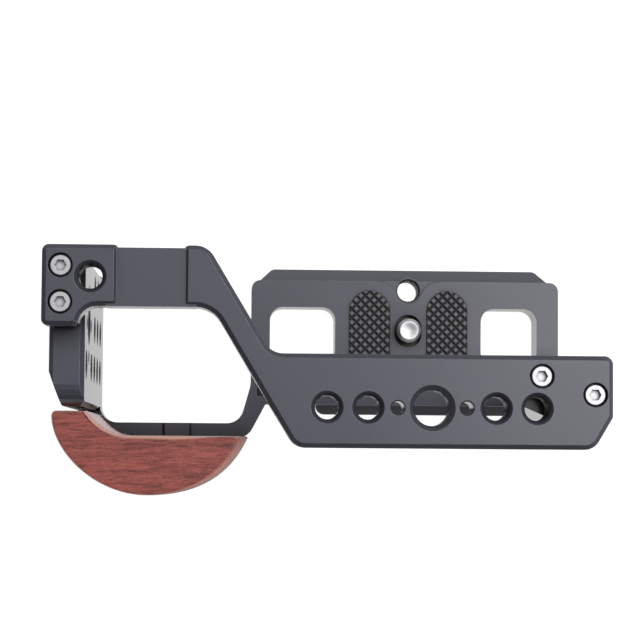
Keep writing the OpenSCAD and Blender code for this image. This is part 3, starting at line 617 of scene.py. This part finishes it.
screw = {
    "tipMm": 4.5,
    "chamferMm": 0.7,
    "dishMm": 0.22,              # depth of the turned hollow in the tip
    "dishShare": 0.86,           # of the tip's flat that the hollow takes up
    "dishRows": 14,
    "innermost": 0.02,           # share of the hollow's radius at which the tip closes
    "threadRadiusMm": 3.175,
    "threadPitchMm": 1.27,
    "threadDepthMm": 0.5,
    "threadFromMm": 0.4,
    "threadRows": 24,
    "threadEdgeMm": 0.3,         # chamfer at its lower end
    "threadFadeMm": 0.4,         # over which its grooves grow at either end
    "neckRadiusMm": 2.4,
    "knobTopMm": -6.9,
    "knobHeightMm": 3.8,
    "knobRadiusMm": 5.5,
    "knobEdgeMm": 0.4,
    "knobSideMm": (0.9, 3.3),    # where its side's rows begin and end, below its top
    "knobSideRows": 5,
    "knobUnderEdgeMm": 0.5,
    "centreMm": 0.05,            # radius at which the underside closes
    "nearMm": 0.01,              # within which a row's radius counts as the thread's or the knob's
    "notches": 24,
    "notchDepthMm": 0.35,
    "slotWidthMm": 1.4,
    "slotDepthMm": 1.8,
    "around": 144,
    "sharpDegrees": 30,
}


# Profile of the screw from the middle of its tip down to the middle of its head, as radius and height. The
# hollow in the tip lies depth (1 - r^2)^1.5 below it, where r runs from 0 to 1
def screwProfile(s):
    tip, low = s["tipMm"], s["threadFromMm"]
    thread, neck, knob = s["threadRadiusMm"], s["neckRadiusMm"], s["knobRadiusMm"]
    flat = thread - s["chamferMm"]
    knobTop = s["knobTopMm"]
    knobLow = knobTop - s["knobHeightMm"]
    reach = np.linspace(s["innermost"], 1, s["dishRows"])
    shank = np.linspace(tip - s["chamferMm"], low + s["threadEdgeMm"], s["threadRows"])
    side = np.linspace(*s["knobSideMm"], s["knobSideRows"])
    profile = [(flat * s["dishShare"] * r, tip - s["dishMm"] * (1 - r ** 2) ** 1.5) for r in reach]
    profile += [(flat, tip)]
    profile += [(thread, z) for z in shank]
    profile += [(thread - s["threadEdgeMm"], low), (neck, low), (neck, knobTop)]
    profile += [(knob - s["knobEdgeMm"], knobTop), (knob, knobTop - s["knobEdgeMm"])]
    profile += [(knob, knobTop - drop) for drop in side]
    profile += [(knob - s["knobUnderEdgeMm"], knobLow), (knob * 0.5, knobLow), (s["centreMm"], knobLow)]
    return np.array(profile)


# The screw turned about z: radius(a, z) is the profile's, less depth * (1 - ridge(z / pitch - a / 2 pi)) on
# the shank, and less a row of V notches on the head's side: depth * (1 - 4 |frac(n a / 2 pi + 1/2) - 1/2|),
# never below 0
def makeScrew(s):
    profile = screwProfile(s)
    radius, z = profile[:, :1], profile[:, 1:]
    a = anglesAround(s["around"])
    onShank = (radius > s["threadRadiusMm"] - s["nearMm"]) & (z > 0)
    onKnob = radius > s["knobRadiusMm"] - s["nearMm"]
    above = np.clip((s["tipMm"] - s["chamferMm"] - z) / s["threadFadeMm"], 0, 1)
    below = np.clip((z - s["threadFromMm"]) / s["threadFadeMm"], 0, 1)
    groove = above * below * (1 - threadRidge(z / s["threadPitchMm"] - a / (2 * np.pi))) * onShank
    notch = np.clip(1 - 4 * np.abs((a * s["notches"] / (2 * np.pi) + 0.5) % 1 - 0.5), 0, 1) * onKnob
    points = turnedPoints(radius - s["threadDepthMm"] * groove - s["notchDepthMm"] * notch, a, z)
    faces = [face[::-1] for face in gridQuads(len(profile), s["around"], closedColumns=True)]
    faces.append(list(range(s["around"])))
    faces.append([(len(profile) - 1) * s["around"] + i for i in range(s["around"])][::-1])
    piece = makePiece("threadedScrew", points, faces, "screw", "steel", s["sharpDegrees"])
    cutSlot(piece, s)
    return piece


# Cuts the coin slot across the head with a box, and keeps only the cut mesh
def cutSlot(piece, s):
    low = s["knobTopMm"] - s["knobHeightMm"]
    x, y, z = 2 * s["knobRadiusMm"], s["slotWidthMm"] / 2, low + s["slotDepthMm"]
    corners = np.array([(i, j, k) for i in (-x, x) for j in (-y, y) for k in (low - 1, z)]) * mm
    boxFaces = [(0, 1, 3, 2), (4, 6, 7, 5), (0, 4, 5, 1), (2, 3, 7, 6), (0, 2, 6, 4), (1, 5, 7, 3)]
    cutterMesh = bpy.data.meshes.new("slotCutter")
    cutterMesh.from_pydata(corners.tolist(), [], boxFaces)
    cutter = bpy.data.objects.new("slotCutter", cutterMesh)
    bpy.context.scene.collection.objects.link(cutter)
    modifier = piece.modifiers.new("coinSlot", "BOOLEAN")
    modifier.object = cutter
    modifier.operation = "DIFFERENCE"
    modifier.solver = "EXACT"
    graph = bpy.context.evaluated_depsgraph_get()
    cutMesh = bpy.data.meshes.new_from_object(piece.evaluated_get(graph))
    piece.modifiers.remove(modifier)
    piece.data = cutMesh
    bpy.data.objects.remove(cutter)


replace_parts(makeScrew(screw), "camera_screw")
print("stage: camera screw turned")

floorLook = {
    "halfM": 0.45,
    "belowMm": 0.05,             # under the cage, so that the two faces don't fight
    "glow": 0.98,
    "paper": (0.35, 0.35, 0.35, 1),
}


# Pale paper: plain white to the eye and in reflections, with a soft shadow, and clear from below
def paleFloor(look):
    level = cadBox[0][2] - look["belowMm"] * mm
    half = look["halfM"]
    mesh = bpy.data.meshes.new("paperFloor")
    corners = [(-half, -half, level), (half, -half, level), (half, half, level), (-half, half, level)]
    mesh.from_pydata(corners, [], [(0, 1, 2, 3)])
    floor = bpy.data.objects.new("paperFloor", mesh)
    bpy.context.scene.collection.objects.link(floor)
    material, tree = newMaterial("whitePaper")
    rays = addNode(tree, "ShaderNodeLightPath").outputs
    seen = {0: rays["Is Camera Ray"], 1: rays["Is Glossy Ray"]}
    seen = addNode(tree, "ShaderNodeMath", seen, operation="MAXIMUM")
    seen = addNode(tree, "ShaderNodeMath", {0: seen, 1: rays["Is Transmission Ray"]}, operation="MAXIMUM")
    glow = addNode(tree, "ShaderNodeMath", {0: seen, 1: look["glow"]}, operation="MULTIPLY")
    glowing = addNode(tree, "ShaderNodeEmission", {"Color": white, "Strength": glow})
    paper = addNode(tree, "ShaderNodeBsdfDiffuse", {"Color": look["paper"]})
    both = addNode(tree, "ShaderNodeAddShader", {0: glowing, 1: paper})
    behind = addNode(tree, "ShaderNodeNewGeometry").outputs["Backfacing"]
    clear = addNode(tree, "ShaderNodeBsdfTransparent")
    fromAbove = addNode(tree, "ShaderNodeMixShader", {0: behind, 1: both, 2: clear})
    addNode(tree, "ShaderNodeOutputMaterial", {"Surface": fromAbove})
    mesh.materials.append(material)


paleFloor(floorLook)

# Soft square lamps, all aimed at one point near the middle of the cage
aimM = (-0.02, -0.01, 0.04)
lamps = {
    "overheadSoftbox": {"placeM": (-0.05, 0.52, 1.2), "sizeM": 1.2, "watts": 3.4},
    "rightKey": {"placeM": (0.38, 0.16, 0.95), "sizeM": 0.6, "watts": 3.2},
    "rearRightFill": {"placeM": (0.5, 0.35, 0.8), "sizeM": 0.55, "watts": 2.0},
}


# The lamp looks along its own -z, and its top points to the rear as nearly as that allows
def softLight(name, settings):
    data = bpy.data.lights.new(name, "AREA")
    data.shape = "SQUARE"
    data.size = settings["sizeM"]
    data.energy = settings["watts"]
    lamp = bpy.data.objects.new(name, data)
    away = np.array(settings["placeM"]) - np.array(aimM)
    away /= np.linalg.norm(away)
    rear = (0.0, 1.0, 0.001)
    side = np.cross(rear, away)
    side /= np.linalg.norm(side)
    turn = Matrix([side, np.cross(away, side), away]).transposed().to_4x4()
    turn.translation = settings["placeM"]
    lamp.matrix_world = turn
    bpy.context.scene.collection.objects.link(lamp)


for name, settings in lamps.items():
    softLight(name, settings)

# An even pale surround: white to the eye, and a faint fill for everything else
surround = {"To Min": 0.04, "To Max": 1.0}


def paleWorld(limits):
    world = bpy.data.worlds.new("studio")
    bpy.context.scene.world = world
    world.use_nodes = True
    tree = world.node_tree
    tree.nodes.clear()
    seen = addNode(tree, "ShaderNodeLightPath").outputs["Is Camera Ray"]
    strength = addNode(tree, "ShaderNodeMapRange", {"Value": seen, **limits})
    sky = addNode(tree, "ShaderNodeBackground", {"Color": white, "Strength": strength})
    addNode(tree, "ShaderNodeOutputWorld", {"Surface": sky})


paleWorld(surround)
bpy.context.scene.view_settings.view_transform = "Standard"
print("stage: floor, light and camera set")
